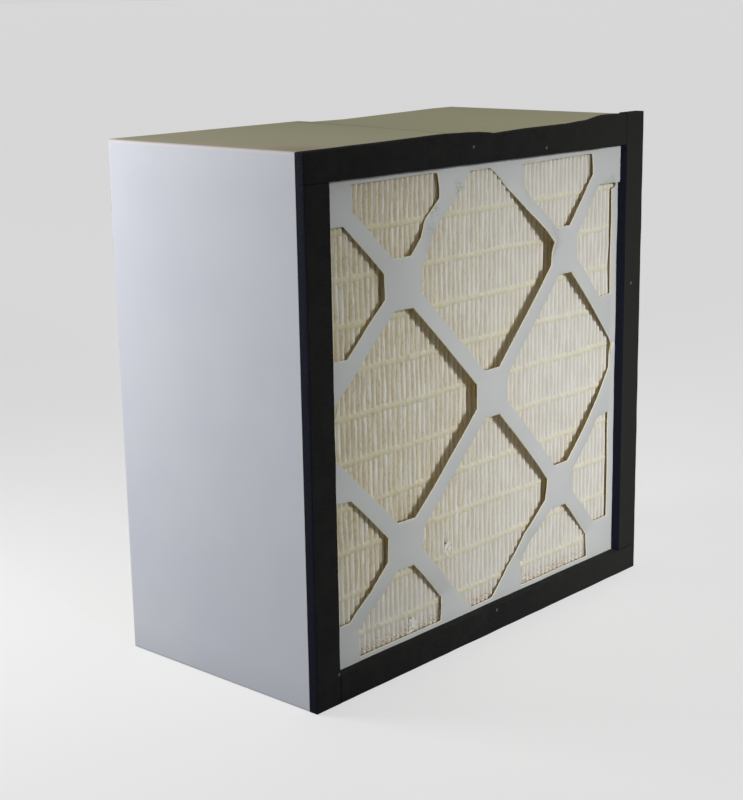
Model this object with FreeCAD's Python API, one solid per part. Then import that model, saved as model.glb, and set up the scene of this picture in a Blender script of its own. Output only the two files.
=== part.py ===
# A box-type pleated air filter of 12 by 12 by 5 7/8 inches nominal size. A strip of white board is
# folded round the four sides and lapped on top. A die-cut grille is glued into each end of it.
# A pleated sheet of glass paper stands between the grilles, spaced by threads of hot melt and
# sealed into the case on all four sides. Four strips of black foam lie on the front face.
import FreeCAD, Part
import math
import os

V = FreeCAD.Vector

# Case: one strip of coated board
face_width = 304.8
face_height = 304.8
case_depth = 147.0
board = 1.0
fold_radius = 0.5
glue_line = 0.1

# Lapped seam in the middle of the top
seam_x = 2.0
seam_lap = 28.0
seam_sag = 0.8
flat_by_fold = 22.0

# Grilles: die-cut board with a flange folded back on each side
flange_depth = 26.0
hub_pitch = 150.0
hub_across = 29.0
bar_width = 10.4
border = 19.4
edge_opening_width = 71.0
front_bow = 8.2
rear_bow = 1.2
bow_margin = 0.3
bow_degree = 6

# Pleated glass paper
pleat_pitch = 4.15
paper = 0.45
outer_chords = 4
inner_chords = 2
pack_setback = 1.6
seal_depth = 6.0
least_side_seal = 2.0

# Threads of hot melt over the pleat tips
bead_pitch = 25.4
bead_height = 2.6
bead_rise = 0.8
first_bead = 22.6

# Foam strips on the front face
upright_inset = 0.35
level_inset = 2.8
foam_thickness = 6.35
foam_round = 0.6
right_overhang = 5.5
bottom_lift = 0.5
top_tilt = 1.8
right_strip_rise = 1.7
step_run = 6.0

# Upper edge of the top strip: share of the way, then rise above the board under it.
# The first list runs from the left end to the seam, the second from the seam to the right end.
left_crest = [(0, 0), (0.4, 0.3), (0.75, 0.9), (0.9, 0.3), (1, -0.5)]
right_crest = [(0, -1.0), (0.1, -0.7), (0.3, -0.1), (0.55, -0.2), (0.7, 0.6), (0.86, 2.7), (1, 2.5)]

# What follows from these sizes
half_width = face_width / 2
outer_radius = board + fold_radius
lap_top = face_height - board - glue_line
lap_under = lap_top - board
window_width = face_width - 2 * border
window_height = face_height - 2 * border
upright_foam = border - upright_inset
level_foam = border - level_inset
sag_reach = seam_sag * 4 / 9

# Room for the grilles inside the folded strip
grille_half = half_width - board - glue_line
grille_floor = board + glue_line
grille_roof = lap_under - sag_reach - glue_line
face_middle = face_height / 2

# Room for the pack inside the grilles' flanges
room_half = grille_half - board
room_floor = grille_floor + board
room_roof = grille_roof - board
pack_floor = room_floor + seal_depth
pack_roof = room_roof - seal_depth
pack_front = board + pack_setback
pack_back = case_depth - board - pack_setback

half_pitch = pleat_pitch / 2
pleats = int((2 * (room_half - least_side_seal) - paper + half_pitch) / pleat_pitch)
pack_half = ((2 * pleats - 1) * half_pitch + paper) / 2

# The origin is under the middle of the whole, foam included
shift = V(-right_overhang / 2, (foam_thickness - case_depth) / 2, 0)


def line(a, b):
    return Part.LineSegment(a, b).toShape()


def polygon_face(points):
    return Part.Face(Part.makePolygon(points + [points[0]]))


def box(low, high):
    return Part.makeBox(high.x - low.x, high.y - low.y, high.z - low.z, low)


def folded_path(points, radius):
    """Edges of a path through the points, with an arc of one radius at each inner corner."""
    edges = []
    start = points[0]
    for before, corner, after in zip(points, points[1:], points[2:]):
        back = (before - corner).normalize()
        ahead = (after - corner).normalize()
        leave = corner + back * radius
        arrive = corner + ahead * radius
        centre = leave + ahead * radius
        middle = centre + (corner - centre).normalize() * radius
        edges.append(line(start, leave))
        edges.append(Part.Arc(leave, middle, arrive).toShape())
        start = arrive
    edges.append(line(start, points[-1]))
    return edges


def folded_channel(points, inward, run):
    """A strip of board folded at right angles along a path, extruded by the vector run.

    The inward vectors carry each point of the outer path to the inner one."""
    inner = [p + step * board for p, step in zip(points, inward)]
    edges = folded_path(points, outer_radius) + [line(points[-1], inner[-1])]
    edges += folded_path(inner, fold_radius) + [line(inner[0], points[0])]
    return Part.Face(Part.Wire(Part.__sortEdges__(edges))).extrude(run)


def sagging_edge(level):
    """The curve from beside the right fold down to the seam, at one face of the board."""
    start = half_width - flat_by_fold
    reach = (start - seam_x) / 3
    drop = board + glue_line
    curve = Part.BezierCurve()
    curve.setPoles([V(start, 0, level), V(start - reach, 0, level),
                    V(seam_x + reach, 0, level - drop - seam_sag), V(seam_x, 0, level - drop)])
    return curve.toShape()


def case_wrap():
    """The strip round the four sides: its right end runs under its left end on top."""
    top, left, right = face_height, -half_width, half_width
    flat_end = half_width - flat_by_fold
    tuck = seam_x - seam_lap
    outer = [V(seam_x, 0, top), V(left, 0, top), V(left, 0, 0), V(right, 0, 0), V(right, 0, top),
             V(flat_end, 0, top)]
    inner = [V(seam_x, 0, top - board), V(left + board, 0, top - board), V(left + board, 0, board),
             V(right - board, 0, board), V(right - board, 0, top - board),
             V(flat_end, 0, top - board)]
    edges = folded_path(outer, outer_radius) + folded_path(inner, fold_radius)
    edges += [sagging_edge(top), sagging_edge(top - board)]
    edges += [line(V(seam_x, 0, lap_top), V(tuck, 0, lap_top)),
              line(V(tuck, 0, lap_top), V(tuck, 0, lap_under)),
              line(V(tuck, 0, lap_under), V(seam_x, 0, lap_under)),
              line(V(seam_x, 0, top), V(seam_x, 0, top - board))]
    return Part.Face(Part.Wire(Part.__sortEdges__(edges))).extrude(V(0, case_depth, 0))


def opening_prism(x, z):
    """A diamond with its four points cut off flat, square to the face, around one centre."""
    reach = hub_pitch / 2 - bar_width / math.sqrt(2)
    flat = (hub_pitch - hub_across) / 2
    side = reach - flat
    corners = [(flat, -side), (flat, side), (side, flat), (-side, flat),
               (-flat, side), (-flat, -side), (-side, -flat), (side, -flat)]
    depth = 2 * (front_bow + board)
    face = polygon_face([V(x + a, -depth, z + b) for a, b in corners])
    return face.extrude(V(0, 2 * depth, 0))


def grille_openings():
    """Four whole openings round the middle hub and eight cut short by the border."""
    half = hub_pitch / 2
    deep = 3 * (front_bow + board)
    low = V(-window_width / 2, -deep, face_middle - window_height / 2)
    window = box(low, low + V(window_width, 2 * deep, window_height))
    prisms = []
    for across, up in ((half, 0), (-half, 0), (0, half), (0, -half)):
        prisms.append(opening_prism(across, face_middle + up).common(window))
    for across in (-half, half):
        for end in (-hub_pitch, hub_pitch):
            upright = box(V(across - edge_opening_width / 2, -deep, 0),
                          V(across + edge_opening_width / 2, deep, face_height))
            level = box(V(-half_width, -deep, face_middle + across - edge_opening_width / 2),
                        V(half_width, deep, face_middle + across + edge_opening_width / 2))
            above = opening_prism(across, face_middle + end).common(window)
            beside = opening_prism(end, face_middle + across).common(window)
            prisms += [above.common(upright), beside.common(level)]
    return prisms


def bowed_sheet(bow):
    """The middle of a grille before its openings are cut, bowed outward like a pillow."""
    half_x = window_width / 2 + bow_margin
    half_z = window_height / 2 + bow_margin
    crown = bow / (1 - 2 * 0.5 ** bow_degree) ** 2
    surface = Part.BezierSurface()
    surface.increase(bow_degree, bow_degree)
    for i in range(bow_degree + 1):
        for j in range(bow_degree + 1):
            inside = 0 < i < bow_degree and 0 < j < bow_degree
            x = half_x * (2 * i / bow_degree - 1)
            z = face_middle + half_z * (2 * j / bow_degree - 1)
            surface.setPole(i + 1, j + 1, V(x, -crown if inside else 0, z))
    return surface.toShape().extrude(V(0, board, 0))


def grille(bow):
    """One die-cut sheet: a border, the bars and hubs inside it, and four folded flanges."""
    side, floor, roof = grille_half, grille_floor, grille_roof
    low, high = floor + outer_radius, roof - outer_radius
    across = folded_channel(
        [V(-side, flange_depth, low), V(-side, 0, low), V(side, 0, low), V(side, flange_depth, low)],
        [V(1, 0, 0), V(1, 1, 0), V(-1, 1, 0), V(-1, 0, 0)], V(0, 0, high - low))
    start = outer_radius - side
    upright = folded_channel(
        [V(start, flange_depth, floor), V(start, 0, floor), V(start, 0, roof),
         V(start, flange_depth, roof)],
        [V(0, 0, 1), V(0, 1, 1), V(0, 1, -1), V(0, 0, -1)], V(-2 * start, 0, 0))
    half_x = window_width / 2 + bow_margin
    half_z = window_height / 2 + bow_margin
    hole = box(V(-half_x, -board, face_middle - half_z), V(half_x, 2 * board, face_middle + half_z))
    border = across.fuse(upright).removeSplitter().cut(hole)
    lattice = bowed_sheet(bow).cut(grille_openings())
    return border.fuse(lattice).removeSplitter()


def rear_grille():
    turned = grille(rear_bow)
    return turned.mirror(V(0, case_depth / 2, 0), V(0, 1, 0))


def wall_x(i):
    """Middle of the sheet in the upright wall of one half pleat."""
    return (i - pleats + 0.5) * half_pitch


def sheet_side(sign, outer_first):
    """Points along one side of the folded sheet, from its first free edge to its last."""
    outer = (half_pitch + paper) / 2
    inner = (half_pitch - paper) / 2
    points = [V(wall_x(0) + sign * paper / 2, pack_back, pack_floor)]
    for i in range(2 * pleats - 1):
        at_front = i % 2 == 0
        wide = at_front == outer_first
        radius = outer if wide else inner
        chords = outer_chords if wide else inner_chords
        outward = -1 if at_front else 1
        y = pack_front + outer if at_front else pack_back - outer
        centre = V(wall_x(i) + half_pitch / 2, y, pack_floor)
        for k in range(chords + 1):
            turn = math.pi * k / chords
            points.append(centre + V(-math.cos(turn), outward * math.sin(turn), 0) * radius)
    points.append(V(points[-1].x, pack_back, pack_floor))
    return points


def media_pack():
    """One long sheet folded to and fro, with both free edges at the back.

    Each fold turns in a few straight runs, so that the whole pack stays light."""
    outline = sheet_side(-1, True) + sheet_side(1, False)[::-1]
    return polygon_face(outline).extrude(V(0, 0, pack_roof - pack_floor))


def bead(crest, outward, z):
    """A thread of hot melt along the pleat tips: flat where it lies on them, round outside."""
    start = V(-pack_half, crest, z - bead_height / 2)
    end = V(-pack_half, crest, z + bead_height / 2)
    top = V(-pack_half, crest + outward * bead_rise, z)
    section = Part.Wire([Part.Arc(start, top, end).toShape(), line(end, start)])
    return Part.Face(section).extrude(V(2 * pack_half, 0, 0))


def level_seal(outer, flange_face, inner):
    """Sealant along the top or bottom, thicker between the flanges of the two grilles."""
    front, back = outer_radius, case_depth - outer_radius
    points = [(front, inner), (front, flange_face), (flange_depth, flange_face),
              (flange_depth, outer), (case_depth - flange_depth, outer),
              (case_depth - flange_depth, flange_face), (back, flange_face), (back, inner)]
    face = polygon_face([V(-room_half, y, z) for y, z in points])
    return face.extrude(V(2 * room_half, 0, 0))


def side_seal(side):
    """Sealant between the last pleat and one side, thicker between the flanges."""
    front, back = outer_radius, case_depth - outer_radius
    wall = half_width - board
    points = [(pack_half, front), (room_half, front), (room_half, flange_depth),
              (wall, flange_depth), (wall, case_depth - flange_depth),
              (room_half, case_depth - flange_depth), (room_half, back), (pack_half, back)]
    face = polygon_face([V(side * x, y, pack_floor) for x, y in points])
    return face.extrude(V(0, 0, pack_roof - pack_floor))


def foam_strip(outline):
    """A strip of foam on the front face, with its front edges slightly rounded."""
    solid = Part.Face(outline).extrude(V(0, -foam_thickness, 0))
    rim = [e for e in solid.Edges if max(abs(v.Y + foam_thickness) for v in e.Vertexes) < 1e-6]
    return solid.makeFillet(foam_round, rim)


def crest_points(crest, start, end, level):
    """Points of the upper edge, from rises given at shares of the way from start to end."""
    return [V(start + (end - start) * share, 0, level + rise) for share, rise in crest]


def gasket_strips():
    """Four strips laid like a pinwheel: each one butts against the side of the next."""
    left, right = -half_width, half_width + right_overhang
    left_inner = left + upright_foam
    right_inner = right - upright_foam
    bottom_top = bottom_lift + level_foam
    right_top = face_height + right_strip_rise
    corner_left = V(left, 0, face_height - level_foam)
    corner_right = corner_left + V(right_inner - left, 0, -top_tilt)
    seam = corner_left + (corner_right - corner_left) * (upright_foam / (right_inner - left))

    left_strip = [V(left, 0, bottom_lift), V(left_inner, 0, bottom_lift), seam, corner_left]
    bottom_strip = [V(left_inner, 0, bottom_lift), V(right, 0, bottom_lift),
                    V(right, 0, bottom_top), V(left_inner, 0, bottom_top)]
    right_strip = [V(right_inner, 0, bottom_top), V(right, 0, bottom_top),
                   V(right, 0, right_top), V(right_inner, 0, right_top)]
    crest = crest_points(left_crest, left, seam_x - step_run / 2, face_height)
    crest += crest_points(right_crest, seam_x + step_run / 2, right_inner, lap_top)
    wave = Part.BSplineCurve()
    wave.interpolate(crest)
    top_edges = [wave.toShape(), line(crest[-1], corner_right), line(corner_right, corner_left),
                 line(corner_left, crest[0])]
    outlines = {"gasket_left": Part.makePolygon(left_strip + [left_strip[0]]),
                "gasket_top": Part.Wire(top_edges),
                "gasket_right": Part.makePolygon(right_strip + [right_strip[0]]),
                "gasket_bottom": Part.makePolygon(bottom_strip + [bottom_strip[0]])}
    return {name: foam_strip(outline) for name, outline in outlines.items()}


def bead_levels():
    """Heights of the threads, from the lowest up, as many as the pack has room for."""
    rows = int((pack_roof - pack_floor - first_bead) / bead_pitch) + 1
    return [pack_floor + first_bead + bead_pitch * i for i in range(rows)]


def build():
    nodes = {"case_wrap": case_wrap(), "front_grille": grille(front_bow),
             "rear_grille": rear_grille(), "media_pack": media_pack()}
    for i, z in enumerate(bead_levels(), 1):
        nodes["front_bead_%02d" % i] = bead(pack_front, -1, z)
        nodes["rear_bead_%02d" % i] = bead(pack_back, 1, z)
    nodes["sealant_bottom"] = level_seal(grille_floor, room_floor, pack_floor)
    nodes["sealant_top"] = level_seal(grille_roof, room_roof, pack_roof)
    nodes["sealant_left"] = side_seal(-1)
    nodes["sealant_right"] = side_seal(1)
    nodes.update(gasket_strips())
    return nodes


os.makedirs("parts", exist_ok=True)
for name, shape in build().items():
    shape.translate(shift)
    shape.exportStep("parts/%s.step" % name)
    print(name, len(shape.Solids), shape.isValid(), round(shape.Volume, 1))
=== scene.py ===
# %% [markdown]
# # A pleated air filter
# The filter is a strip of white board folded into a box, with a die-cut grille in each end. A
# sheet of glass paper stands between them in deep pleats, threads of hot melt hold the pleats
# apart, and black foam runs round the face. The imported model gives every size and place. This
# script makes the pieces that show again, with the wear and the small faults of the real ones.

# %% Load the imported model
import math

import bmesh
import bpy
from mathutils import Matrix, Vector, noise


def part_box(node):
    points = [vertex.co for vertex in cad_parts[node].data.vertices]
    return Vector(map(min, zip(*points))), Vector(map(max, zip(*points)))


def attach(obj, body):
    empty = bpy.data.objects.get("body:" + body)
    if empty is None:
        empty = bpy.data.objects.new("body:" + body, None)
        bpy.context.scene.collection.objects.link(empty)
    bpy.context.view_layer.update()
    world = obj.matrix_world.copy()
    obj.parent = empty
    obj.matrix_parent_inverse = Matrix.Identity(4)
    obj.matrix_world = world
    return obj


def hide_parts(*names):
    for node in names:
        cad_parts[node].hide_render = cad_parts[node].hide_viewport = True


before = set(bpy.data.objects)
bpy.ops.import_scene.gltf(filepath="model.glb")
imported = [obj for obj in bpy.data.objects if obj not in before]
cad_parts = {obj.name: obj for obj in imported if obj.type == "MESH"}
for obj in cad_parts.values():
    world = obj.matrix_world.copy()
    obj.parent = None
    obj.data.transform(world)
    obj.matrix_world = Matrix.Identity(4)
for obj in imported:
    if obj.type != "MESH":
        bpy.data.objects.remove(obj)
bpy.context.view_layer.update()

mm = 0.001
case_low, case_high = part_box("case_wrap")
middle_x = (case_low.x + case_high.x) / 2
middle_z = (case_low.z + case_high.z) / 2
front_y, back_y = case_low.y, case_high.y
half_width = (case_high.x - case_low.x) / 2
print("case, mm:", [round(side / mm, 1) for side in case_high - case_low])

# %% [markdown]
# ## The camera
# The picture was taken from the left of the face and a little above it. A lens twice as long as
# the frame is wide gives the same slow perspective, so the camera stands well back. Its place
# and its three axes were solved from the box's corners, as a surveyor solves a station.

# %% Set the camera
camera_place = Vector((-0.7463, -0.6571, 0.3803))
camera_right = Vector((0.669396, -0.742721, -0.016561))
camera_ahead = Vector((0.718675, 0.653049, -0.238816))
lens_data = bpy.data.cameras.new("camera")
lens_data.lens = 73.92
camera = bpy.data.objects.new("camera", lens_data)
bpy.context.scene.collection.objects.link(camera)
camera_up = camera_right.cross(camera_ahead)
turn = Matrix((camera_right, camera_up, -camera_ahead)).transposed()
camera.matrix_world = Matrix.Translation(camera_place) @ turn.to_4x4()
bpy.context.scene.camera = camera
print("camera looks down by", round(math.degrees(math.asin(-camera_ahead.z)), 1), "degrees")

# %% [markdown]
# ## Light, floor and background
# A lamp stands far off before the face, aimed past its middle, so the face is brightest on the
# right and the bars throw soft shade on the pleats. A second lamp, behind and to the left,
# grazes the left side, and a weak one far to the right keeps the side that the picture doesn't
# show from going dark. A pale world fills in. Is Camera Ray lets the floor look pale without
# throwing much light back up at the box.

# %% Helper: a new object from a bmesh
def add_object(bm, name, materials):
    mesh = bpy.data.meshes.new(name)
    bm.to_mesh(mesh)
    bm.free()
    for material in materials:
        mesh.materials.append(material)
    made = bpy.data.objects.new(name, mesh)
    bpy.context.scene.collection.objects.link(made)
    return made


# %% Helpers: shader maths as expressions
def tone(red, green, blue):
    """A colour written as 0 to 255 screen values, as the linear colour that a shader reads."""
    parts = [value / 255 for value in (red, green, blue)]
    return tuple(p / 12.92 if p < 0.04045 else ((p + 0.055) / 1.055) ** 2.4 for p in parts) + (1,)


class Value:
    """A socket in an expression. Each sum, difference or product adds a Math node."""

    def __init__(self, finish, socket):
        self.finish = finish
        self.socket = socket

    def join(self, operation, first, second):
        node = self.finish.node("Math", {"operation": operation}, {0: first, 1: second})
        return Value(self.finish, node.outputs[0])

    def __add__(self, other):
        return self.join("ADD", self, other)

    def __radd__(self, other):
        return self.join("ADD", other, self)

    def __sub__(self, other):
        return self.join("SUBTRACT", self, other)

    def __rsub__(self, other):
        return self.join("SUBTRACT", other, self)

    def __mul__(self, other):
        return self.join("MULTIPLY", self, other)

    def __rmul__(self, other):
        return self.join("MULTIPLY", other, self)


class Finish:
    """A material on Object coordinates, in metres, whose nodes are added one by one."""

    def __init__(self, name, **constants):
        self.material = bpy.data.materials.new(name)
        self.material.use_nodes = True
        self.tree = self.material.node_tree
        self.shader = self.tree.nodes["Principled BSDF"]
        for socket, value in constants.items():
            self.shader.inputs[socket.replace("_", " ")].default_value = value
        self.place = Value(self, self.node("TexCoord", {}, {}).outputs["Object"])
        axes = self.node("SeparateXYZ", {}, {0: self.place})
        self.x, self.y, self.z = [Value(self, axes.outputs[i]) for i in range(3)]

    def node(self, kind, settings, inputs):
        node = self.tree.nodes.new("ShaderNode" + kind)
        for name, value in settings.items():
            setattr(node, name, value)
        for key, value in inputs.items():
            self.feed(node.inputs[key], value)
        return node

    def feed(self, socket, value):
        if isinstance(value, Value):
            self.tree.links.new(value.socket, socket)
        else:
            socket.default_value = value

    def grain(self, size, detail, stretch=(1, 1, 1)):
        """Noise whose patches are about size metres across, longer where stretch is above 1."""
        scale = [1 / s for s in stretch]
        place = self.node("Mapping", {}, {"Vector": self.place, "Scale": scale})
        noise_node = self.node("TexNoise", {}, {"Vector": Value(self, place.outputs[0]),
                               "Scale": 1 / size, "Detail": detail})
        return Value(self, noise_node.outputs[0])

    def ramp(self, value, low, high, start=0, end=1):
        """value from low to high turned smoothly into start to end, and held beyond."""
        node = self.node("MapRange", {"interpolation_type": "SMOOTHSTEP"},
                         {"Value": value, "From Min": low, "From Max": high,
                          "To Min": start, "To Max": end})
        return Value(self, node.outputs[0])

    def band(self, value, reach):
        """1 where value is 0, falling to 0 at reach either way."""
        return self.ramp(value, -reach, 0) * self.ramp(value, 0, reach, 1, 0)

    def near(self, point, reach):
        """1 at a point, falling to 0 at reach metres from it."""
        node = self.node("VectorMath", {"operation": "DISTANCE"}, {0: self.place, 1: point})
        return self.ramp(Value(self, node.outputs["Value"]), 0, reach, 1, 0)

    def mix(self, factor, first, second):
        node = self.node("Mix", {"data_type": "RGBA"}, {0: factor, 6: first, 7: second})
        return Value(self, node.outputs[2])

    def colour(self, value):
        self.feed(self.shader.inputs["Base Color"], value)

    def rough(self, value):
        self.feed(self.shader.inputs["Roughness"], value)

    def bump(self, height, depth):
        """Relief from a height of 0 to 1 that stands for depth metres."""
        node = self.node("Bump", {}, {"Height": height, "Distance": depth, "Strength": 1})
        self.feed(self.shader.inputs["Normal"], Value(self, node.outputs[0]))


# %% Lamps and world
def area_lamp(name, place, aim, side, watts, spread=180):
    data = bpy.data.lights.new(name, "AREA")
    data.shape = "SQUARE"
    data.size = side
    data.energy = watts
    data.spread = math.radians(spread)
    lamp = bpy.data.objects.new(name, data)
    facing = (Vector(aim) - Vector(place)).to_track_quat("-Z", "Y").to_matrix().to_4x4()
    lamp.matrix_world = Matrix.Translation(place) @ facing
    lamp.visible_camera = False
    bpy.context.scene.collection.objects.link(lamp)


left_centre, right_centre = (case_low.x, 0, middle_z), (case_high.x, 0, middle_z)
area_lamp("lamp_before_face", place=(-0.60, -2.30, 0.84), aim=(0.15, front_y, 0.105),
          side=0.36, watts=0.53, spread=18)
area_lamp("lamp_by_left_side", place=(-0.40, 0.40, 0.33), aim=left_centre, side=0.25, watts=2.08)
area_lamp("lamp_far_right", place=(1.85, 0.35, 0.20), aim=right_centre, side=0.3, watts=0.17,
          spread=16)

world_light, world_seen = 0.20, 0.66
world = bpy.data.worlds.new("studio")
bpy.context.scene.world = world
world.use_nodes = True
background = world.node_tree.nodes["Background"]
background.inputs["Color"].default_value = (1, 1, 1, 1)
light_path = world.node_tree.nodes.new("ShaderNodeLightPath")
strength = world.node_tree.nodes.new("ShaderNodeMapRange")
strength.inputs["To Min"].default_value = world_light
strength.inputs["To Max"].default_value = world_seen
world.node_tree.links.new(light_path.outputs["Is Camera Ray"], strength.inputs["Value"])
world.node_tree.links.new(strength.outputs[0], background.inputs["Strength"])

# %% Floor, with a glow that only the camera sees
floor_bounce, floor_shown, floor_glow = 0.30, 0.28, 0.61
floor_half = 400


def grey(level):
    return (level, level, level, 1)


floor_finish = Finish("floor_paint", Roughness=0.9)
seen = Value(floor_finish, floor_finish.node("LightPath", {}, {}).outputs["Is Camera Ray"])
floor_finish.colour(floor_finish.mix(seen, grey(floor_bounce), grey(floor_shown)))
floor_finish.feed(floor_finish.shader.inputs["Emission Color"],
                  floor_finish.mix(seen, grey(0), grey(floor_glow)))
floor_finish.shader.inputs["Emission Strength"].default_value = 1
floor_bm = bmesh.new()
bmesh.ops.create_grid(floor_bm, x_segments=1, y_segments=1, size=floor_half)
floor = add_object(floor_bm, "floor", [floor_finish.material])
bpy.context.scene.view_settings.view_transform = "Standard"
print("lamps:", len(bpy.data.lights))

# %% [markdown]
# ## Coated board
# Coated board is white and nearly plain: faint fibres, slow patches and a little rubbing are
# enough, and too much would look like plaster. Its back and its cut edges are brown and cream
# stock. An image of board could be wrapped round instead, but noise on Object coordinates runs
# over every fold without a seam. Each finish is one function or block, so it can be tried alone.

# %% White coated board
def white_board(name, white, shade):
    finish = Finish(name, Specular_IOR_Level=0.3)
    fibres = finish.grain(1.1 * mm, detail=4, stretch=(1, 4, 1))
    patches = finish.grain(60 * mm, detail=2)
    tint = finish.mix(finish.ramp(patches, 0.3, 0.7), white, shade)
    paint = finish.mix(finish.ramp(fibres, 0.55, 0.8, 0, 0.25), tint, shade)
    finish.colour(paint)
    finish.rough(finish.ramp(fibres, 0.3, 0.7, 0.55, 0.66))
    finish.bump(fibres, 0.02 * mm)
    return finish, paint


# painted cool light: the case's white is tinted blue, as cool light falls on its left side
case_white, case_paint = white_board("case_white", tone(231, 234, 243), tone(226, 230, 240))
grille_white, grille_paint = white_board("grille_white", tone(220, 223, 221), tone(213, 216, 214))

# %% Painted shade on the case's top: darker and warmer, lighter to the left, with a painted shadow beside the seam and a warm stain by one corner
seam_painted_shadow_x, seam_painted_shadow_slant = -16.8 * mm, 0.14
stain_place, stain_reach = (-145.6 * mm, -62 * mm, case_high.z), 30 * mm
top_face = case_white.ramp(case_white.z, case_high.z - 4 * mm, case_high.z - 3 * mm)
left_of_fold = case_white.ramp(case_white.x - case_low.x, 0.5 * mm, 1.4 * mm)
right_of_fold = case_white.ramp(case_high.x - case_white.x, 0.5 * mm, 1.4 * mm)
on_top = top_face * left_of_fold * right_of_fold
across_top = case_white.ramp(case_white.x, case_low.x, middle_x)
# painted shade: the top is darker and warmer than the sides, as only dim warm light reaches it
top_painted_shade = case_white.mix(across_top, tone(234, 227, 192), tone(219, 214, 174))
# painted shadow: a darker band along the edge of the lapped seam
seam_painted_shadow = case_white.band(case_white.x - case_white.y * seam_painted_shadow_slant - seam_painted_shadow_x, 4 * mm) * 0.35
stained = case_white.near(stain_place, stain_reach) * 0.5
top_painted_shade = case_white.mix(seam_painted_shadow, top_painted_shade, tone(160, 160, 128))
top_painted_shade = case_white.mix(stained, top_painted_shade, tone(206, 176, 150))
case_paint = case_white.mix(on_top, case_paint, top_painted_shade)

# %% Painted highlight: the fold between the top and the left side is painted near white
from_fold = case_white.x - case_low.x + (case_high.z - case_white.z)
fold_painted_highlight = case_white.ramp(from_fold, 1.0 * mm, 2.2 * mm, 0.8, 0)
case_white.colour(case_white.mix(fold_painted_highlight, case_paint, tone(250, 240, 240)))

# %% The grille's coating is rubbed grey where the board has creased or torn, with painted shade in the creases
# each place in millimetres, to the right of the middle and above the floor
scuff_and_crease_shade_places = [(-43.9, 264.0), (-46.4, 254.5), (-23.4, 274.6), (64.3, 240.2), (131.0, 264.6),
                (123.8, 261.0)]
scuff_and_crease_shade_reach = 7 * mm
scuff_and_crease_shade_grain = grille_white.ramp(grille_white.grain(1.3 * mm, detail=2), 0.46, 0.6, 0, 0.7)
# grey speckled patches: rubbed coating and painted crease shade
for x, z in scuff_and_crease_shade_places:
    scuff_and_crease_shade = grille_white.near((middle_x + x * mm, front_y - 3 * mm, z * mm), scuff_and_crease_shade_reach)
    grille_paint = grille_white.mix(scuff_and_crease_shade * scuff_and_crease_shade_grain, grille_paint, tone(150, 154, 146))
grille_white.colour(grille_paint)

# %% Brown back and cut edge
kraft = Finish("kraft_back", Roughness=0.85)
kraft_fibres = kraft.grain(0.9 * mm, detail=5, stretch=(1, 5, 1))
kraft.colour(kraft.mix(kraft.ramp(kraft_fibres, 0.3, 0.7), tone(226, 186, 66), tone(236, 202, 92)))
kraft.bump(kraft_fibres, 0.05 * mm)


def board_edge(name, light, dark):
    finish = Finish(name, Roughness=0.8)
    edge_fibres = finish.grain(0.5 * mm, detail=4)
    finish.colour(finish.mix(edge_fibres, light, dark))
    finish.bump(edge_fibres, 0.08 * mm)
    return finish


cut_edge = board_edge("cut_edge", tone(252, 248, 222), tone(245, 236, 200))
case_edge = board_edge("case_edge", tone(196, 188, 156), tone(170, 160, 128))

# %% [markdown]
# ## Paper, hot melt, foam and sealant
# Glass paper is fuzzy and off-white. Painted warm shade makes it golden in the grooves and
# yellower on the left, and its lower edge is frayed, brown and full of white specks. The same
# painted shade tints the paper and the threads on it, so they stay a pair. Depth behind the tips
# can be read from Y, which is why the grooves need no second material. Foam is a cloud of small
# dark cells, greyer to the right.

# %% Where the paper and the hot melt carry painted warm shade
def unshaded_share(finish):
    """0 on the left, where they carry painted warm shade, and 1 on the right and along the bottom.
    """
    across = finish.ramp(finish.x, -half_width, 0.5 * half_width)
    along_bottom = finish.ramp(finish.z, 30 * mm, 80 * mm, 1, 0)
    return across + along_bottom * (1 - across)


# %% Glass paper, with painted golden shade in the grooves, frayed, brown and specked along the bottom
groove_start, groove_full = 0.7 * mm, 3 * mm
frayed_below, whole_above = 20 * mm, 27 * mm
glass_paper = Finish("glass_paper", Specular_IOR_Level=0.2)
paper_fuzz = glass_paper.grain(0.7 * mm, detail=5, stretch=(1, 1, 4))
paper_cloud = glass_paper.grain(14 * mm, detail=3)
unshaded = unshaded_share(glass_paper)
# painted warm shade: the paper is yellower on the left, and its fuzz and wisps show more there
paper_light = glass_paper.mix(unshaded, tone(240, 236, 217), tone(240, 239, 233))
paper_dark = glass_paper.mix(unshaded, tone(235, 228, 208), tone(235, 232, 225))
paper_tone = glass_paper.mix(glass_paper.ramp(paper_cloud, 0.3, 0.7), paper_light, paper_dark)
dull = glass_paper.ramp(paper_fuzz, 0.48, 0.72) * (0.9 - 0.75 * unshaded)
paper_tone = glass_paper.mix(dull, paper_tone, tone(204, 197, 174))
frayed = glass_paper.ramp(glass_paper.z, frayed_below, whole_above, 0.9, 0)
paper_lint = glass_paper.grain(1.5 * mm, detail=2)
paper_tone = glass_paper.mix(frayed * glass_paper.ramp(paper_lint, 0.45, 0.65), paper_tone,
                             tone(196, 172, 150))
specks = glass_paper.ramp(glass_paper.grain(1.2 * mm, detail=1), 0.56, 0.62)
paper_tone = glass_paper.mix(frayed * specks, paper_tone, tone(255, 253, 246))
wisps = glass_paper.grain(2.2 * mm, detail=3, stretch=(1, 1, 9))
bright = glass_paper.ramp(wisps, 0.5, 0.64) * (1 - 0.7 * unshaded)
paper_tone = glass_paper.mix(bright, paper_tone, tone(253, 252, 248))
front_tips, back_tips = [corner.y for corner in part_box("media_pack")]
behind_front = glass_paper.ramp(glass_paper.y, front_tips + groove_start, front_tips + groove_full)
before_back = glass_paper.ramp(glass_paper.y, back_tips - groove_full, back_tips - groove_start,
                               1, 0)
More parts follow.
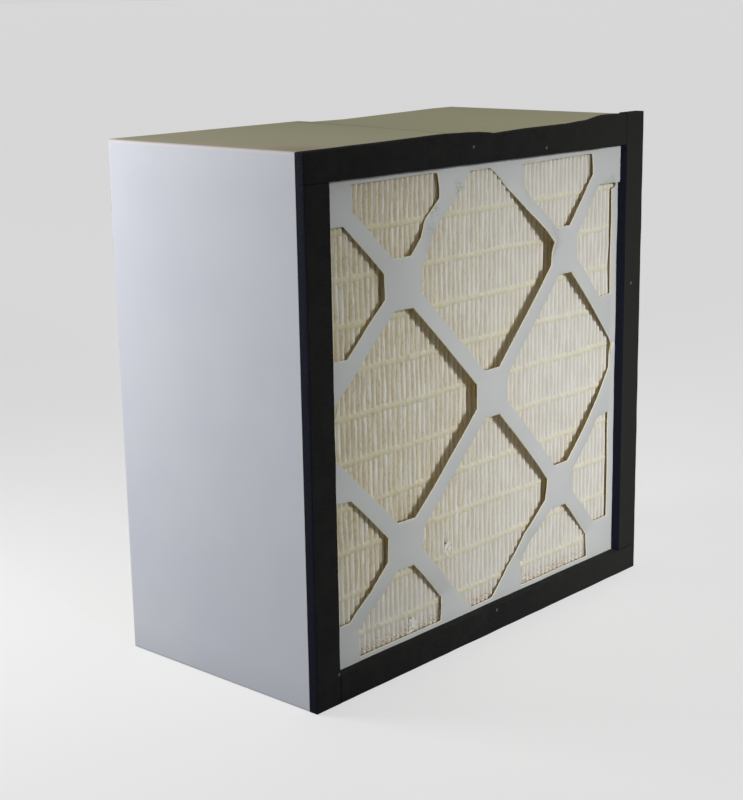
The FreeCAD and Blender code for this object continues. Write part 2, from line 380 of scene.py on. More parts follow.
# painted shade: the paper deep behind the tips is golden, for the warm shade in the grooves and
# under the bars
groove_painted_shade = behind_front * before_back * (0.8 - 0.55 * unshaded)
glass_paper.colour(glass_paper.mix(groove_painted_shade, paper_tone, tone(228, 214, 146)))
glass_paper.rough(glass_paper.ramp(paper_fuzz, 0.3, 0.7, 0.75, 0.95))
glass_paper.bump(paper_fuzz, 0.12 * mm)

# %% Loose fibre, whiter than the sheet that it came from
loose_fibre = Finish("loose_fibre", Roughness=0.95, Specular_IOR_Level=0.2)
fibre_cloud = loose_fibre.grain(0.8 * mm, detail=4)
loose_fibre.colour(loose_fibre.mix(fibre_cloud, tone(250, 248, 240), tone(232, 228, 216)))
loose_fibre.bump(fibre_cloud, 0.1 * mm)

# %% Hot melt
hot_melt = Finish("hot_melt", Specular_IOR_Level=0.4)
melt_cloud = hot_melt.grain(3 * mm, detail=2)
# painted warm shade: the threads are yellower on the left, as the paper is
melt_tone = hot_melt.mix(unshaded_share(hot_melt), tone(225, 220, 188), tone(231, 228, 209))
hot_melt.colour(hot_melt.mix(hot_melt.ramp(melt_cloud, 0.3, 0.8, 0, 0.5), melt_tone,
                             tone(220, 214, 188)))
hot_melt.rough(hot_melt.ramp(melt_cloud, 0.3, 0.7, 0.5, 0.65))
hot_melt.bump(melt_cloud, 0.12 * mm)


# %% Black foam, with specks of dust
# each place in millimetres, to the right of the origin and above the floor
foam_thickness = 6.35 * mm
speck_places = [(-18.4, 297.1), (50.8, 291.2), (143.9, 197.3), (3.4, 14.2), (-137.5, 18.2)]
speck_reach = 1.5 * mm


def foam_finish(name, wall, pore, worn):
    finish = Finish(name, Specular_IOR_Level=0.3)
    cells = finish.node("TexVoronoi", {}, {"Vector": finish.place, "Scale": 1 / (0.55 * mm)})
    cell = Value(finish, cells.outputs["Distance"])
    cloud = finish.grain(9 * mm, detail=4)
    mottle = finish.mix(finish.ramp(cell, 0.2, 0.7), pore, wall)
    mottle = finish.mix(finish.ramp(cloud, 0.35, 0.7, 0, 0.3), mottle, worn)
    # greyer towards the right
    greyer_to_right = finish.ramp(finish.x, 0, half_width, 0, 0.7)
    mottle = finish.mix(greyer_to_right, mottle, worn)
    for x, z in speck_places:
        speck = finish.near((x * mm, front_y - foam_thickness, z * mm), speck_reach)
        mottle = finish.mix(speck, mottle, tone(118, 116, 106))
    finish.colour(mottle)
    finish.rough(finish.ramp(cell, 0.2, 0.7, 0.95, 0.8))
    finish.bump(cell, 0.25 * mm)
    return finish


black_foam = foam_finish("black_foam", tone(30, 32, 30), tone(19, 20, 19), tone(45, 46, 42))
# painted reflection: the foam's sides are dark blue, as they reflect blue surroundings
foam_side_blue_reflection = foam_finish("foam_side_blue_reflection", tone(10, 16, 38), tone(6, 9, 26), tone(14, 19, 40))

# %% Sealant
sealant = Finish("sealant_cream", Specular_IOR_Level=0.5)
pour = sealant.grain(11 * mm, detail=2)
sealant.colour(sealant.mix(pour, tone(226, 219, 196), tone(214, 205, 178)))
sealant.rough(sealant.ramp(pour, 0.3, 0.7, 0.25, 0.4))
sealant.bump(pour, 0.3 * mm)
for side in ("left", "right", "top", "bottom"):
    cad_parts["sealant_" + side].data.materials[0] = sealant.material
print("finishes:", len(bpy.data.materials))

# %% [markdown]
# ## Finishing a piece
# Every new piece takes its finishes, rides on the one body and stands for its CAD node. Edges
# sharper than a given angle stay sharp, and the rest shade as one surface. Noise moves points by
# a fraction of a millimetre, and a line through given points gives what was bent or laid.

# %% Helper: ride, replace, finish and shade
def place_piece(bm, name, materials, nodes, sharp_above):
    piece = add_object(bm, name, materials)
    piece.data.shade_smooth()
    piece.data.set_sharp_from_angle(angle=math.radians(sharp_above))
    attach(piece, "root")
    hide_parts(*nodes)
    print(name, len(piece.data.polygons), "faces")
    return piece


# %% Helpers: small irregularities
def wander(x, y, z, reach):
    """Smooth noise of about reach either way, for a point given in any units."""
    return noise.noise(Vector((x, y, z))) * 2 * reach


def share_of(value, start, end):
    """How far value is from start to end, from 0 to 1."""
    return min(max((value - start) / (end - start), 0.0), 1.0)


def follow(knots, value):
    """Height of the line through knots of (value, height), held beyond its ends."""
    for (start, low), (end, high) in zip(knots, knots[1:]):
        if value <= end:
            return low + (high - low) * share_of(value, start, end)
    return knots[-1][1]


def cut(bm, point, normal, faces=None):
    """Cuts the faces, or all of them, along a plane."""
    if faces is None:
        geom = bm.verts[:] + bm.edges[:] + bm.faces[:]
    else:
        geom = list({part for face in faces for part in (face, *face.edges, *face.verts)})
    bmesh.ops.bisect_plane(bm, geom=geom, plane_co=point, plane_no=normal, dist=1e-5)


# %% [markdown]
# ## The pleated sheet
# One long sheet of glass paper is folded to and fro. Each fold is pinched to a narrow tip, and
# behind it the paper swells until it nearly touches the next pleat, so light reaches the whole
# of each groove. The sheet starts as a path in plan, vertex bevel rounds the tips, and Spin,
# with no angle and a step upwards, raises it. The tips then wander, as real pleats do.

# %% Pleat sizes
pack_low, pack_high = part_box("media_pack")
pleat_pitch = 4.15 * mm
half_pitch = pleat_pitch / 2
paper = 0.45 * mm
pleats = 71
tip_width = 1.15 * mm
tip_rounding = 0.45 * mm
shoulder_depth = 4.6 * mm
shoulder_gap = 0.9 * mm
first_tip = (pack_low.x + pack_high.x) / 2 - (pleats - 1) * half_pitch
sheet_front, sheet_back = pack_low.y + paper / 2, pack_high.y - paper / 2
rows = 40
sway_reach, shift_reach, swell_reach = 0.3 * mm, 0.42 * mm, 0.35 * mm
print("pleats:", pleats, "first tip at", round(first_tip / mm, 2), "mm")


# %% How the tips wander
def sway(x, z, back):
    """Sideways shift that neighbouring pleats share."""
    return wander(x * 16, z * 22, 4 + 9 * back, sway_reach)


def tip_shift(tip, z, back):
    """Sideways shift of one tip."""
    return wander(tip * 3.7, z * 85, 8 + 9 * back, shift_reach)


def tip_swell(tip, z, back):
    """How far one tip stands proud of its neighbours."""
    return wander(tip * 5.3, z * 60, 2 + 9 * back, swell_reach)


def tip_number(x, back):
    """The fold nearest to x, on the front or on the back, which lies half a pitch off."""
    return round((x - first_tip) / pleat_pitch + 0.5 * back)


# %% Fold and raise the sheet
def fold_path():
    """Corners of the sheet in plan, pleat by pleat."""
    path = []
    for i in range(pleats):
        tip = first_tip + i * pleat_pitch
        left_half = [(half_pitch - tip_width / 2, sheet_back),
                     (shoulder_gap / 2, sheet_back - shoulder_depth),
                     (half_pitch - shoulder_gap / 2, sheet_front + shoulder_depth),
                     (tip_width / 2, sheet_front)]
        path += [(tip - reach, y) for reach, y in left_half]
        path += [(tip + reach, y) for reach, y in reversed(left_half)]
    return path


def pleated_sheet():
    bm = bmesh.new()
    path = fold_path()
    verts = [bm.verts.new((*path[0], pack_low.z))]
    for (x, y), (next_x, next_y) in zip(path, path[1:]):
        new = bmesh.ops.extrude_vert_indiv(bm, verts=[verts[-1]])["verts"]
        bmesh.ops.translate(bm, verts=new, vec=(next_x - x, next_y - y, 0))
        verts += new
    tips = [v for v in verts[1:-1] if min(v.co.y - sheet_front, sheet_back - v.co.y) < 0.1 * mm]
    bmesh.ops.bevel(bm, geom=tips, offset=tip_rounding, offset_type="OFFSET", segments=2,
                    profile=0.5, affect="VERTICES", material=-1)
    step = (pack_high.z - pack_low.z) / rows
    bmesh.ops.spin(bm, geom=bm.edges[:], cent=(0, 0, 0), axis=(0, 0, 1), dvec=(0, 0, step),
                   angle=0, steps=rows)
    bmesh.ops.recalc_face_normals(bm, faces=bm.faces[:])
    for vert in bm.verts:
        x, y, z = vert.co
        back = y > 0
        depth = sheet_back - y if back else y - sheet_front
        hold = 1 - share_of(depth, 0, shoulder_depth)
        tip = tip_number(x, back)
        vert.co.x += sway(x, z, back) + tip_shift(tip, z, back) * hold
        vert.co.y += tip_swell(tip, z, back) * hold
    return bm


paper_piece = place_piece(pleated_sheet(), "pleated_paper", [glass_paper.material],
                          ["media_pack"], 80)
thickness = paper_piece.modifiers.new("thickness", "SOLIDIFY")
thickness.thickness = paper
thickness.offset = 0

# %% [markdown]
# ## Tufts of loose fibre
# Two small wads of fibre hang on the pleat tips near the bottom. Hair strands would be too fine to
# see from here, so each wad is a flattened ball that coarse and fine noise make ragged.

# %% Two tufts of loose fibre: place, half width and half height in millimetres
tufts = [("fibre_tuft_low", (-62.3, 23.4), (3.0, 3.4)),
         ("fibre_tuft_high", (-30.0, 61.0), (2.6, 3.4))]
tuft_half_depth = 0.7
tuft_lift = 0.1
coarse_rag, fine_rag = 0.5, 0.2


def tuft(x, z, half_across, half_up):
    bm = bmesh.new()
    bmesh.ops.create_icosphere(bm, subdivisions=5, radius=1)
    for vert in bm.verts:
        across, out, up = vert.co
        ragged = 1 + wander(across * 2 + x, out * 2, up * 2, coarse_rag)
        ragged += wander(across * 5 + x, out * 5, up * 5, fine_rag)
        vert.co = Vector((across * half_across, out * tuft_half_depth, up * half_up)) * ragged * mm
    place = (middle_x + x * mm, pack_low.y - tuft_lift * mm, z * mm)
    bmesh.ops.translate(bm, verts=bm.verts[:], vec=place)
    return bm


for name, (x, z), (half_across, half_up) in tufts:
    place_piece(tuft(x, z, half_across, half_up), name, [loose_fibre.material], ["media_pack"],
                180)

# %% [markdown]
# ## Threads of hot melt
# Each thread is laid across the sheet before it is folded. On the finished pack it lies thin over
# every tip and sinks into the groove between two pleats, like a comb, so the ridges still read
# through it. A ring of edges is stepped along X, and each ring is then moved and sized by where
# it is on its pleat.

# %% One thread over the tips: its depth is in millimetres outwards from the tips' face
threads = 11
top_thread_zone, top_thread_rise = 25 * mm, 2.4 * mm
thread_end = 0.3 * mm
steps_per_pleat = 6
outer_on_tip, outer_in_groove = 0.2, -1.5
inner_on_tip, inner_in_groove = -0.3, -3.6
thread_half_height = 1.9
outer_wander, height_wander, drift_wander = 0.12, 0.4, 0.5
# distance from a tip, in pitches, where the thread leaves it and where it has sunk
leaves_tip, sunk = 0.12, 0.42


def thread(node, back):
    low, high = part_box(node)
    outward = 1 if back else -1
    tip_face = low.y if back else high.y
    level = (low.z + high.z) / 2
    if level > case_high.z - top_thread_zone:
        level += top_thread_rise
    steps = round((high.x - low.x) / pleat_pitch * steps_per_pleat)
    bm = bmesh.new()
    ring = bmesh.ops.create_circle(bm, segments=8, radius=1)["verts"]
    bmesh.ops.rotate(bm, verts=ring, matrix=Matrix.Rotation(math.radians(90), 3, "Y"))
    bmesh.ops.translate(bm, verts=ring, vec=(low.x + thread_end, 0, 0))
    bmesh.ops.spin(bm, geom=bm.edges[:], cent=(0, 0, 0), axis=(1, 0, 0),
                   dvec=((high.x - low.x - 2 * thread_end) / steps, 0, 0), angle=0, steps=steps)
    bmesh.ops.holes_fill(bm, edges=[e for e in bm.edges if e.is_boundary])
    for vert in bm.verts:
        x, across, up = vert.co
        tip = tip_number(x, back)
        off_tip = (x - first_tip) / pleat_pitch + 0.5 * back - tip
        on_tip = 1 - share_of(abs(off_tip), leaves_tip, sunk)
        outer = outer_in_groove + (outer_on_tip - outer_in_groove) * on_tip
        outer += tip_swell(tip, level, back) / mm * outward * on_tip
        outer += wander(x * 300, level * 40, 3, outer_wander)
        inner = inner_in_groove + (inner_on_tip - inner_in_groove) * on_tip
        half_height = thread_half_height + wander(x * 180, level * 50, 7, height_wander)
        drift = wander(x * 25, level * 30, 1, drift_wander)
        vert.co.x = x + sway(x, level, back) + tip_shift(tip, level, back) * on_tip
        vert.co.y = tip_face + outward * ((outer + inner) / 2 + across * (outer - inner) / 2) * mm
        vert.co.z = level + (up * half_height + drift) * mm
    bmesh.ops.recalc_face_normals(bm, faces=bm.faces[:])
    return bm


for i in range(1, threads + 1):
    for side, back in (("front", False), ("rear", True)):
        node = "%s_bead_%02d" % (side, i)
        place_piece(thread(node, back), "%s_thread_%02d" % (side, i), [hot_melt.material],
                    [node], 60)

# %% [markdown]
# ## The grilles
# Each grille is cut from one sheet: diamonds with their points cut off, whole ones round the
# middle hub and cut ones at the border. Booleans would leave faces too long to bow, so a grid is
# cut along every line that bounds an opening, and the faces inside the openings are deleted. Die
# cutting draws the edges inwards a little, so a second line beside each cut lets them curl. Then
# the sheet is bowed and thickened.

# %% Grille sizes, in millimetres from the middle of the face
hub_pitch = 150.0
hub_across = 29.0
bar_width = 10.4
window = 133.0
edge_opening = 71.0
bow_reach, bow_power = 133.3, 6
board = 1.0
flange_depth = 26.0
curl_reach = 2.2
curl_depth = 0.35
core_shown = 0.32
diamond_reach = hub_pitch / 2 - bar_width / math.sqrt(2)
diamond_flat = (hub_pitch - hub_across) / 2
grid_cells = 44
grille_low, grille_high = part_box("front_grille")
sheet_half = (grille_high.x - grille_low.x) / 2 / mm
sheet_floor = (grille_low.z - middle_z) / mm
sheet_roof = (grille_high.z - middle_z) / mm
print("whole diamond, mm across its flats:", round(2 * diamond_flat, 1))


# %% Where the openings are
def opening_clearance(x, z):
    """Distance from the nearest opening's edge, below 0 inside an opening."""
    half = hub_pitch / 2
    nearest = 100.0
    for cx, cz in ((half, 0), (-half, 0), (0, half), (0, -half)):
        dx, dz = abs(x - cx), abs(z - cz)
        inside = max((dx + dz - diamond_reach) / math.sqrt(2), dx - diamond_flat,
                     dz - diamond_flat)
        nearest = min(nearest, inside)
    for cx in (-half, half):
        for cz in (-hub_pitch, hub_pitch):
            for a, b in ((x, z), (z, x)):
                da, db = abs(a - cx), abs(b - cz)
                inside = max((da + db - diamond_reach) / math.sqrt(2), db - diamond_flat,
                             da - edge_opening / 2)
                nearest = min(nearest, inside)
    return max(nearest, abs(x) - window, abs(z) - window)


def bow_at(x, z, bow):
    """The pillow shape of the model's sheet, in millimetres outwards."""
    if max(abs(x), abs(z)) >= bow_reach:
        return 0.0
    rise = bow / (1 - 2 * 0.5 ** bow_power) ** 2
    for distance in (x, z):
        share = (distance / bow_reach + 1) / 2
        rise *= 1 - share ** bow_power - (1 - share) ** bow_power
    return rise


def cut_lines():
    """Each line as a point and a direction square to it, in the plane of the face."""
    lines = []
    uprights = [(hub_across / 2, -1), (diamond_flat, 1), (hub_pitch - diamond_flat, -1),
                (window, 1), (hub_pitch / 2 - edge_opening / 2, -1),
                (hub_pitch / 2 + edge_opening / 2, 1)]
    for reach in (0, core_shown, curl_reach):
        for distance, side in uprights:
            for sign in (-1, 1):
                place = sign * (distance + side * reach)
                lines.append(((place, 0, 0), (1, 0, 0)))
                lines.append(((0, place, 0), (0, 1, 0)))
        half_bar = bar_width / math.sqrt(2) - reach * math.sqrt(2)
        for k in (-1, 0, 1):
            for edge in (k * hub_pitch - half_bar, k * hub_pitch + half_bar):
                lines.append(((edge, 0, 0), (1, 1, 0)))
                lines.append(((edge, 0, 0), (1, -1, 0)))
    return lines


# %% [markdown]
# ## Wear of the front grille
# Four bars have been pushed in or bent, and one hub with them. The border is slit above one
# opening, torn beside another, crumpled once, sagging along the top and pressed flatter along the
# bottom. Sculpting would do it too, but a few named dents can be read and moved. Each bent bar is
# a line of creases: how far along the bar a crease crosses each edge, and how far in it is there.

# %% Bent bars, in millimetres: along and in at the bar's right edge, then at its left edge
bent_bars = [
    # start on the face, direction, creases
    ((-75, 75), (1, 1), [(21, 0, 28, 0), (40, 4.6, 40, 3.9), (68, 0, 62, 0)]),
    ((-75, 75), (-1, -1), [(15, 0, 15, 0), (32, 1.3, 32, 1.3), (78, 0, 78, 0)]),
    ((0, 150), (1, -1), [(13, 0, 28, 0), (40, 3.7, 53, 2.3), (62, 0.4, 62, 3.6),
                         (80, -3.1, 74, 1.7), (92, -2.8, 85, 0.3), (99, 0, 99, 0)]),
    ((75, -75), (-1, -1), [(8, 0, 8, 0), (20, 1.6, 20, 1.6), (40, 3.5, 40, 3.5),
                           (60, 1.0, 60, 1.0), (82, 0, 82, 0)]),
]
dent_hold, dent_reach = 6.0, 14.0
pushed_hub, pushed_in, pushed_hold, pushed_reach = (75, -75), 1.5, 12.0, 48.0
low_flat, low_flat_start, low_flat_full = 2.0, 96.0, 116.0
low_flat_side, low_flat_end = 112.0, 126.0
slit_x, slit_width, slit_length = 45.0, 0.9, 4.5
slit_sink, slit_run = 0.6, 30.0
tear_z, tear_height, tear_length = 109.6, 1.2, 7.0
tear_lift, tear_gape, gape_down, gape_across = 1.7, 2.6, 9.0, 6.0
flap_x, flap_z = (108, 137), (96, 112)
crumple_x, crumple_z, crumple_reach, crumple_depth = 135.6, 4.9, 7.0, 1.6
front_uneven, rear_uneven = 0.5, 0.3
hang_below, hang_above = 8.0, 12.0
border_hang = [(-105, 1.3), (-46, 0.9), (-14, 2.6), (45, 3.2), (104, 2.6)]
print("bent bars:", len(bent_bars))


# %% How far the wear lifts the sheet
def along_and_across(x, z, start, direction):
    """Place on a bar: along it from its start, and across it, positive on the left of the way."""
    dx, dz = x - start[0], z - start[1]
    step = 1 / math.sqrt(2)
    return ((dx * direction[0] + dz * direction[1]) * step,
            (dz * direction[0] - dx * direction[1]) * step)


def worn(x, z):
    """Millimetres outwards, at a place of the front grille."""
    rise = -abs(wander(x * 0.02, z * 0.02, 30, front_uneven))
    for start, direction, creases in bent_bars:
        along, across = along_and_across(x, z, start, direction)
        right = follow([(crease[0], crease[1]) for crease in creases], along)
        left = follow([(crease[2], crease[3]) for crease in creases], along)
        share = share_of(across, -bar_width / 2, bar_width / 2)
        beside_bar = share_of(abs(across), dent_hold, dent_reach)
        rise -= (right + (left - right) * share) * (1 - beside_bar)
    from_hub = math.hypot(x - pushed_hub[0], z - pushed_hub[1])
    rise -= pushed_in * (1 - share_of(from_hub, pushed_hold, pushed_reach))
    flat = share_of(-z, low_flat_start, low_flat_full) * (1 - share_of(-z, low_flat_full, window))
    rise -= low_flat * flat * (1 - share_of(abs(x), low_flat_side, low_flat_end))
    if z > tear_z + tear_height / 2:
        rise += tear_lift * share_of(x, *flap_x) * share_of(z, *flap_z)
    if z > window - 2 and x > slit_x + slit_width / 2:
        beside_slit = 1 - share_of(x, slit_x, slit_x + slit_run)
        rise -= slit_sink * beside_slit * share_of(z, window - 2, window)
    crumpled = 1 - share_of(math.hypot(x - crumple_x, z - crumple_z), 2, crumple_reach)
    return rise + wander(x * 0.5, z * 0.5, 60, crumple_depth) * crumpled


def settled(x, z):
    """Millimetres down: the border hangs low over the upper openings, and the tear gapes."""
    hang = follow(border_hang, x)
    hang *= share_of(z, window - hang_below, window)
    hang *= 1 - share_of(z, window, window + hang_above)
    gape = 0.0
    if x > window - 1 and z < tear_z:
        below_tear = share_of(z, tear_z - gape_down, tear_z - 0.5)
        gape = tear_gape * (1 - share_of(x, window, window + gape_across)) * below_tear
    return hang + gape


def straight(x, z):
    return 0.0


def slightly_uneven(x, z):
    return -abs(wander(x * 0.02, z * 0.02, 90, rear_uneven))


def torn_away(x, z):
    """True in the slit and in the tear of the front grille."""
    in_slit = abs(x - slit_x) < slit_width / 2 and window - 1 < z < window + slit_length
    in_tear = abs(z - tear_z) < tear_height / 2 and window - 1 < x < window + tear_length
    return in_slit or in_tear


def whole(x, z):
    return False


# %% Cut the lines of wear
def faces_near(bm, place):
    return [f for f in bm.faces if (f.calc_center_median() - place).length < 2 * bar_width]


def crease_lines(bm):
    """Cuts each crease across its bar, and lines on both sides of the slit and the tear."""
    for start, direction, creases in bent_bars:
        for right_along, _, left_along, _ in creases:
            ends = []
            for along, across in ((right_along, -bar_width / 2), (left_along, bar_width / 2)):
                x = start[0] + (along * direction[0] - across * direction[1]) / math.sqrt(2)
                z = start[1] + (along * direction[1] + across * direction[0]) / math.sqrt(2)
                ends.append(Vector((x, z, 0)))
            middle = (ends[0] + ends[1]) / 2
            way = ends[1] - ends[0]
            cut(bm, middle, (-way.y, way.x, 0), faces_near(bm, middle))
    slit, tear = Vector((slit_x, window, 0)), Vector((window, tear_z, 0))
    for middle, half, axis in ((slit, slit_width / 2, 0), (tear, tear_height / 2, 1)):
        for side in (-half, half):
            place, normal = middle.copy(), Vector((0, 0, 0))
            place[axis] += side
            normal[axis] = 1
            cut(bm, place, normal, faces_near(bm, middle))


# %% Cut, bow and thicken one grille
front_bow, rear_bow = 8.12, 1.18
face_out, face_in = 0.8, -0.5


def grille_sheet(bow, wear, gone_at, creased, settle):
    bm = bmesh.new()
    bmesh.ops.create_grid(bm, x_segments=grid_cells, y_segments=grid_cells, size=1)
    height = sheet_roof - sheet_floor
    bmesh.ops.scale(bm, verts=bm.verts[:], vec=(sheet_half, height / 2, 1))
    bmesh.ops.translate(bm, verts=bm.verts[:], vec=(0, (sheet_roof + sheet_floor) / 2, 0))
    for point, normal in cut_lines():
        cut(bm, point, normal)
    if creased:
        crease_lines(bm)
    gone = []
    for face in bm.faces:
        centre = face.calc_center_median()
        if opening_clearance(centre.x, centre.y) < 0 or gone_at(centre.x, centre.y):
            gone.append(face)
    bmesh.ops.delete(bm, geom=gone, context="FACES")
    bmesh.ops.triangulate(bm, faces=[f for f in bm.faces if len(f.verts) > 4])
    rim = [e for e in bm.edges if e.is_boundary
           and all(max(abs(v.co.x) - sheet_half, v.co.y - sheet_roof, sheet_floor - v.co.y) > -0.01
                   for v in e.verts)]
    folded = bmesh.ops.extrude_edge_only(bm, edges=rim)["geom"]
    flange = [v for v in folded if isinstance(v, bmesh.types.BMVert)]
    bmesh.ops.translate(bm, verts=flange, vec=(0, 0, -flange_depth))
    for vert in bm.verts:
        x, z, depth = vert.co
        clearance = opening_clearance(x, z)
        curl = curl_depth * (1 - share_of(clearance, 0, curl_reach)) ** 2
        crush = core_shown * (1 - share_of(clearance, 0, core_shown))
        y = -bow_at(x, z, bow) - wear(x, z) + curl + crush - depth
        vert.co = (x, y, z - settle(x, z))
    return bm


def dress_grille(bm, name, node, turn_back):
    """Puts the sheet in its end of the case and finishes it."""
    bmesh.ops.recalc_face_normals(bm, faces=bm.faces[:])
    outside = [f for f in bm.faces if abs(f.normal.y) > 0.5]
    if sum(f.normal.y for f in outside) > 0:
        bmesh.ops.reverse_faces(bm, faces=bm.faces[:])
    bmesh.ops.solidify(bm, geom=bm.faces[:], thickness=board)
    scale = Matrix.Diagonal((mm, -mm if turn_back else mm, mm)).to_4x4()
    origin = Vector((middle_x, back_y if turn_back else front_y, middle_z))
    bmesh.ops.transform(bm, matrix=Matrix.Translation(origin) @ scale, verts=bm.verts[:])
    bmesh.ops.recalc_face_normals(bm, faces=bm.faces[:])
    outward = 1 if turn_back else -1
    for face in bm.faces:
        facing = face.normal.y * outward
        face.material_index = 0 if facing > face_out else (1 if facing < face_in else 2)
    finishes = [grille_white.material, kraft.material, cut_edge.material]
    return place_piece(bm, name, finishes, [node], 11)


dress_grille(grille_sheet(front_bow, worn, torn_away, True, settled), "front_grille_board",
             "front_grille", False)
dress_grille(grille_sheet(rear_bow, slightly_uneven, whole, False, straight), "rear_grille_board",
             "rear_grille", True)

# %% [markdown]
# ## The folded case
# The case is one strip of board, scored and folded at four corners, with its right end tucked
# under its left end on top. A hollow cube would have no lap, so the outline is drawn corner by
# corner instead. A vertex bevel rounds the folds, and spin carries it back along Y in steps, so
# that the free end can be crushed towards the back. A few more cuts keep every face short.

# %% Fold the case
seam_x = 2.0
seam_lap = 28.0
seam_sag = 0.8
sag_run = 40.0
glue = 0.1
flat_by_fold = 22.0
fold_radius = 1.5
crushed, crush_starts, crush_ends = 0.75, 30.0, 10.0
depth_steps = 24
panel_strips = 16


def case_path():
    """Corners of the outer face in millimetres, from the free end round to the tucked end."""
    side, top = half_width / mm, case_high.z / mm
    under = top - board - glue
    return [(seam_x, top), (-side, top), (-side, 0), (side, 0), (side, top),
            (side - flat_by_fold, top), (seam_x + sag_run, under - 0.6 * seam_sag),
            (seam_x, under), (seam_x - seam_lap, under)]


def folded_case():
    bm = bmesh.new()
    path = case_path()
    verts = [bm.verts.new((path[0][0] * mm + middle_x, front_y, path[0][1] * mm))]
    for (x, z), (next_x, next_z) in zip(path, path[1:]):
        new = bmesh.ops.extrude_vert_indiv(bm, verts=[verts[-1]])["verts"]
        bmesh.ops.translate(bm, verts=new, vec=((next_x - x) * mm, 0, (next_z - z) * mm))
        verts += new
    bmesh.ops.bevel(bm, geom=verts[1:5], offset=fold_radius * mm, offset_type="OFFSET", segments=4,
                    profile=0.5, affect="VERTICES", material=-1)
    bmesh.ops.spin(bm, geom=bm.edges[:], cent=(0, 0, 0), axis=(0, 1, 0),
                   dvec=(0, (back_y - front_y) / depth_steps, 0), angle=0, steps=depth_steps)
    for i in range(1, panel_strips):
        across = case_low.x + (case_high.x - case_low.x) * i / panel_strips
        up = case_low.z + (case_high.z - case_low.z) * i / panel_strips
        cut(bm, (across, 0, 0), (1, 0, 0))
        cut(bm, (0, 0, up), (0, 0, 1))
    return bm


# %% Thicken it, and crush the free end towards the back
def dress_case(bm):
    bmesh.ops.recalc_face_normals(bm, faces=bm.faces[:])
    bottom = [f for f in bm.faces if f.calc_center_median().z < 0.5 * mm]
    if bottom[0].normal.z > 0:
        bmesh.ops.reverse_faces(bm, faces=bm.faces[:])
    bmesh.ops.solidify(bm, geom=bm.faces[:], thickness=board * mm)
    bmesh.ops.recalc_face_normals(bm, faces=bm.faces[:])
    crush_from, crush_to = front_y + crush_starts * mm, back_y - crush_ends * mm
    for vert in bm.verts:
        at_end = abs(vert.co.x - middle_x - seam_x * mm) < 0.2 * mm
        if at_end and vert.co.z > case_high.z - 0.2 * mm:
            vert.co.z -= crushed * mm * share_of(vert.co.y, crush_from, crush_to)
    for face in bm.faces:
        centre = face.calc_center_median()
        on_rim = abs(face.normal.y) > 0.7
        free_end = face.normal.x > 0.9 and abs(centre.x - middle_x) < 40 * mm
        face.material_index = 1 if on_rim or free_end else 0
    return place_piece(bm, "case_board", [case_white.material, case_edge.material], ["case_wrap"],
                       35)


dress_case(folded_case())

# %% [markdown]
# ## Foam round the face
# Four strips of closed-cell foam are laid like a pinwheel, each butting against the next. Plain
# boxes would look cast, so each cube is scaled, bevelled and cut across every few millimetres, and
# its edges can wave as cut foam does. The top strip follows the board under it, with a step at
# the lapped seam.

# %% Strip edges, in millimetres; a crest is a height at a share of the way across
level_foam = 16.6
upright_foam = 19.05
top_tilt = 1.8
step_run = 6.0
foam_left, foam_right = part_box("gasket_left")[0].x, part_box("gasket_right")[1].x
left_crest = [(0, 0), (0.4, 0.3), (0.75, 0.9), (0.9, 0.3), (1, -0.5)]
right_crest = [(0, -1.0), (0.1, -0.7), (0.3, -0.1), (0.55, -0.2), (0.7, 0.6), (0.86, 2.7),
               (1, 2.5)]


def crest_at(x):
    """Height of the top strip's upper edge above the floor, in metres."""
    inner = foam_right - upright_foam * mm
    start, end = middle_x + (seam_x - step_run / 2) * mm, middle_x + (seam_x + step_run / 2) * mm
    board_under = case_high.z - (board + glue) * mm
    knots = [(foam_left + (start - foam_left) * s, case_high.z + r * mm) for s, r in left_crest]
    knots += [(end + (inner - end) * s, board_under + r * mm) for s, r in right_crest]
    for (a, low), (b, high) in zip(knots, knots[1:]):
        if x <= b:
            share = share_of(x, a, b)
            return low + (high - low) * share * share * (3 - 2 * share)
    return knots[-1][1]


def joint_at(x):
    """Height of the top strip's lower edge."""
    inner = foam_right - upright_foam * mm
    return case_high.z - level_foam * mm - top_tilt * mm * (x - foam_left) / (inner - foam_left)


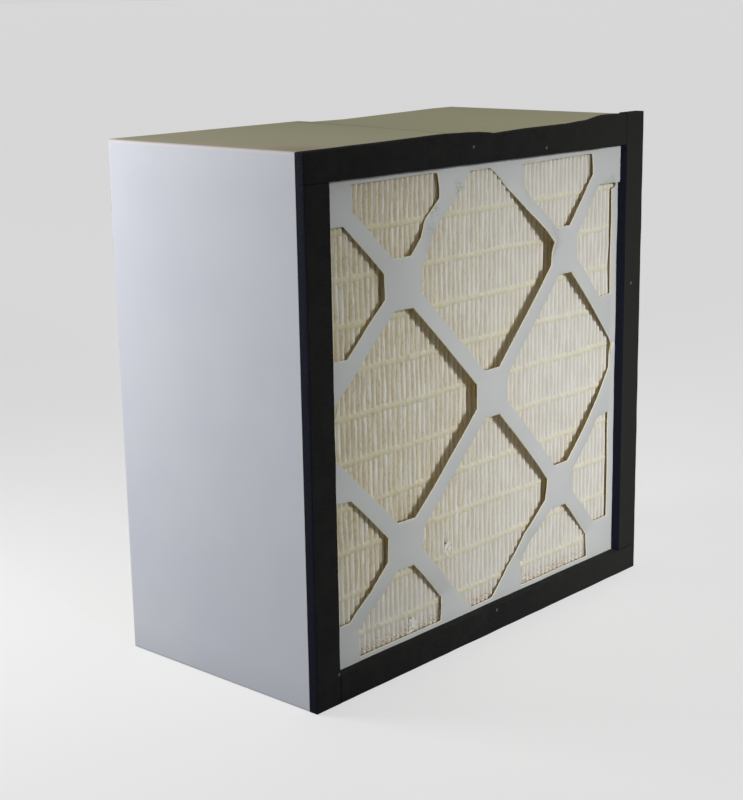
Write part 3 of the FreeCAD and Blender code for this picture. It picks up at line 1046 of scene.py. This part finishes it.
# %% Cut, round and wave one strip
rim_rounding = 0.6 * mm
along_gap, across_gap, depth_gap = 3 * mm, 4.5 * mm, 2.2 * mm
foam_wave = 0.1 * mm
foam_sink = 0.12 * mm
foam_shrink = 0.16 * mm


def foam_strip(node, lower, upper):
    """One strip; lower and upper give its edges' heights, or None where they are level."""
    low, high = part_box(node)
    size = high - low
    bm = bmesh.new()
    bmesh.ops.create_cube(bm, size=1)
    bmesh.ops.scale(bm, verts=bm.verts[:], vec=size)
    bmesh.ops.translate(bm, verts=bm.verts[:], vec=(low + high) / 2)
    rim = [e for e in bm.edges if all(v.co.y < low.y + 0.1 * mm for v in e.verts)]
    bmesh.ops.bevel(bm, geom=rim, offset=rim_rounding, offset_type="OFFSET", segments=3,
                    profile=0.5, affect="EDGES", material=-1)
    long_way = 0 if size.x > size.z else 2
    wide_way = 2 - long_way
    for axis, gap in ((long_way, along_gap), (wide_way, across_gap), (1, depth_gap)):
        count = int(size[axis] / gap)
        for i in range(1, count):
            place, normal = Vector((0, 0, 0)), Vector((0, 0, 0))
            place[axis] = low[axis] + size[axis] * i / count
            normal[axis] = 1
            cut(bm, place, normal)
    for face in bm.faces:
        face.material_index = 1 if abs(face.normal.x) > 0.5 else 0
    for vert in bm.verts:
        x, y, z = vert.co
        if lower or upper:
            bottom = lower(x) if lower else low.z
            top = upper(x) if upper else high.z
            vert.co.z = bottom + (z - low.z) / size.z * (top - bottom)
        raised = max(0.0, (high.y - y) / size.y)
        vert.co.y += raised * (foam_sink + wander(x * 60, y, z * 60, foam_wave))
        across = (vert.co[wide_way] - low[wide_way]) / size[wide_way]
        vert.co[wide_way] += wander(x * 45, y * 90, z * 45, foam_wave)
        vert.co[wide_way] -= (2 * across - 1) * foam_shrink
    return bm


strips = {"gasket_left": (None, joint_at), "gasket_top": (joint_at, crest_at),
          "gasket_right": (None, None), "gasket_bottom": (None, None)}
for node, (lower, upper) in strips.items():
    strip = place_piece(foam_strip(node, lower, upper), node.replace("gasket", "foam"),
                        [black_foam.material, foam_side_blue_reflection.material], [node], 40)
